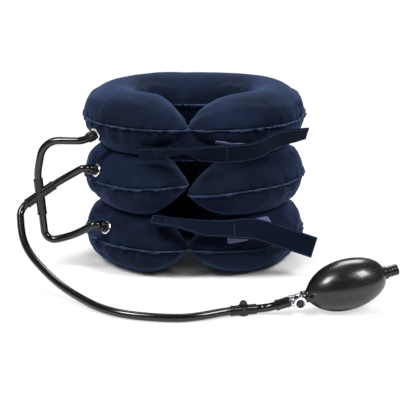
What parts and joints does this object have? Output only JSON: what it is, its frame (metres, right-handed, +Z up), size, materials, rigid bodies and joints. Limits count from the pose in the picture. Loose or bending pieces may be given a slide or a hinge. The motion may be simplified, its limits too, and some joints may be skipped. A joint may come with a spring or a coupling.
{
  "type": "cervical traction device",
  "caption": "Inflatable neck traction collar: stacked C-shaped air tiers in navy velour, hoses to a manifold, a relief valve, a hand bulb and front straps.",
  "frame": {"origin": "on the floor under the back of the collar, midway across it, where its lowest tier rests", "axes": "+X to the right of someone facing the open front of the collar, +Y from the open front to the back, +Z up the stack"},
  "size_m": [0.384, 0.3255, 0.1915],
  "materials": {
    "velour_navy": "short pile",
    "webbing_navy": "brushed loop",
    "black_rubber": "glossy",
    "moulded_black": "gloss",
    "bright_chrome": "polished",
    "nickel": "polished",
    "bladder_film": "satin",
    "hook_tape": "woven",
    "seal_rubber": "matte",
    "spring_steel": "drawn"
  },
  "bodies": {
    "base": {"lower_cover_bottom": "velour_navy", "main_hose": "black_rubber", "relief_body": "moulded_black", "relief_spring": "spring_steel", "pump_hose": "black_rubber"},
    "lower_tier": {"lower_cover_top": "velour_navy", "lower_bladder": "bladder_film", "lower_seam_welt": "velour_navy", "lower_hook_patch": "hook_tape", "lower_label": "hook_tape"},
    "middle_tier": {"middle_cover_top": "velour_navy", "middle_cover_bottom": "velour_navy", "middle_bladder": "bladder_film", "middle_seam_welt": "velour_navy"},
    "upper_tier": {"upper_cover_top": "velour_navy", "upper_cover_bottom": "velour_navy", "upper_bladder": "bladder_film", "upper_seam_welt": "velour_navy", "upper_hook_patch": "hook_tape"},
    "lower_port": {"lower_eyelet": "nickel", "lower_eyelet_washer": "nickel", "lower_port": "moulded_black", "lower_hose_collar": "black_rubber", "lower_hose": "black_rubber", "manifold": "moulded_black"},
    "middle_port": {"middle_eyelet": "nickel", "middle_eyelet_washer": "nickel", "middle_port": "moulded_black", "middle_hose_collar": "black_rubber", "middle_hose": "black_rubber"},
    "upper_port": {"upper_eyelet": "nickel", "upper_eyelet_washer": "nickel", "upper_port": "moulded_black", "upper_hose_collar": "black_rubber", "upper_hose": "black_rubber"},
    "upper_tab": {"upper_strap_tab": "webbing_navy"},
    "lower_tab": {"lower_strap_tab": "webbing_navy"},
    "upper_strap": {"upper_strap": "webbing_navy", "upper_strap_tape": "webbing_navy"},
    "lower_strap": {"lower_strap": "webbing_navy", "lower_strap_tape": "webbing_navy"},
    "relief_button": {"relief_button": "moulded_black", "relief_seal": "seal_rubber"},
    "pump": {"hose_ferrule": "black_rubber", "valve_body": "bright_chrome", "valve_seal": "seal_rubber", "bulb": "black_rubber", "intake_body": "moulded_black", "intake_retainer": "bright_chrome"},
    "valve_spindle": {"valve_spindle": "bright_chrome"},
    "valve_knob": {"valve_knob": "bright_chrome"},
    "outlet_ball": {"outlet_ball": "bright_chrome"},
    "intake_disc": {"intake_disc": "seal_rubber"}
  },
  "joints": [
    {"name": "lower_lift", "type": "slide", "parent": "base", "child": "lower_tier", "axis": [0, 0, 1], "range_m": [-0.01264, 0], "deforming": ["lower_cover_top", "lower_cover_bottom", "lower_bladder", "lower_seam_welt", "lower_hook_patch", "lower_label"]},
    {"name": "middle_lift", "type": "slide", "parent": "lower_tier", "child": "middle_tier", "axis": [0, 0, 1], "range_m": [-0.02528, 0], "deforming": ["middle_cover_top", "middle_cover_bottom", "middle_bladder", "middle_seam_welt"]},
    {"name": "upper_lift", "type": "slide", "parent": "lower_tier", "child": "upper_tier", "axis": [0, 0, 1], "range_m": [-0.05056, 0], "deforming": ["upper_cover_top", "upper_cover_bottom", "upper_bladder", "upper_seam_welt", "upper_hook_patch"]},
    {"name": "lower_port_lift", "type": "slide", "parent": "base", "child": "lower_port", "axis": [0, 0, 1], "range_m": [-0.01904, 0], "deforming": ["lower_hose", "main_hose"]},
    {"name": "middle_port_lift", "type": "slide", "parent": "lower_port", "child": "middle_port", "axis": [0, 0, 1], "range_m": [-0.02368, 0], "deforming": ["middle_hose"]},
    {"name": "upper_port_lift", "type": "slide", "parent": "lower_port", "child": "upper_port", "axis": [0, 0, 1], "range_m": [-0.03916, 0], "deforming": ["upper_hose"]},
    {"name": "upper_tab_lift", "type": "slide", "parent": "upper_tier", "child": "upper_tab", "axis": [0, 0, 1], "range_m": [0, 0.00872]},
    {"name": "lower_tab_lift", "type": "slide", "parent": "lower_tier", "child": "lower_tab", "axis": [0, 0, 1], "range_m": [-0.01344, 0]},
    {"name": "upper_strap_swing", "type": "hinge", "parent": "upper_tab", "child": "upper_strap", "pos_m": [-0.056, -0.1675, 0.1362], "axis": [0, 0, 1], "range_deg": [-110, 0], "deforming": ["upper_strap", "upper_strap_tape"]},
    {"name": "lower_strap_swing", "type": "hinge", "parent": "lower_tab", "child": "lower_strap", "pos_m": [-0.044, -0.164, 0.0652], "axis": [0, 0, 1], "range_deg": [-110, 0], "deforming": ["lower_strap", "lower_strap_tape"]},
    {"name": "relief_press", "type": "slide", "parent": "base", "child": "relief_button", "axis": [0, 0, 1], "range_m": [-0.001, 0], "stiffness_N_per_m": 400, "springref_m": 0.0005, "deforming": ["relief_spring"]},
    {"name": "pump_swing", "type": "hinge", "parent": "base", "child": "pump", "pos_m": [0.0687, -0.2632, 0.007], "axis": [0, 0, 1], "range_deg": [-30, 15], "stiffness_Nm_per_rad": 0.05, "deforming": ["pump_hose"]},
    {"name": "knob_turn", "type": "hinge", "parent": "valve_spindle", "child": "valve_knob", "pos_m": [0.10045, -0.27037, 0.0141], "axis": [0.2079, -0.9781, 0], "range_deg": [0, 540]},
    {"name": "spindle_travel", "type": "slide", "parent": "pump", "child": "valve_spindle", "axis": [0.2079, -0.9781, 0], "range_m": [0, 0.00151]},
    {"name": "outlet_lift", "type": "slide", "parent": "pump", "child": "outlet_ball", "axis": [-0.9531, -0.2026, -0.225], "range_m": [0, 0.0009]},
    {"name": "intake_lift", "type": "slide", "parent": "pump", "child": "intake_disc", "axis": [-0.9531, -0.2026, -0.225], "range_m": [0, 0.0009]}
  ],
  "couplings": [
    {"joint": "lower_lift", "follows": "upper_lift", "ratio": 0.25},
    {"joint": "middle_lift", "follows": "upper_lift", "ratio": 0.5},
    {"joint": "lower_port_lift", "follows": "upper_lift", "ratio": 0.37658},
    {"joint": "middle_port_lift", "follows": "upper_lift", "ratio": 0.46835},
    {"joint": "upper_port_lift", "follows": "upper_lift", "ratio": 0.77453},
    {"joint": "upper_tab_lift", "follows": "upper_lift", "ratio": -0.17247},
    {"joint": "lower_tab_lift", "follows": "upper_lift", "ratio": 0.26582},
    {"joint": "spindle_travel", "follows": "knob_turn", "m_per_rad": 0.00015915}
  ]
}
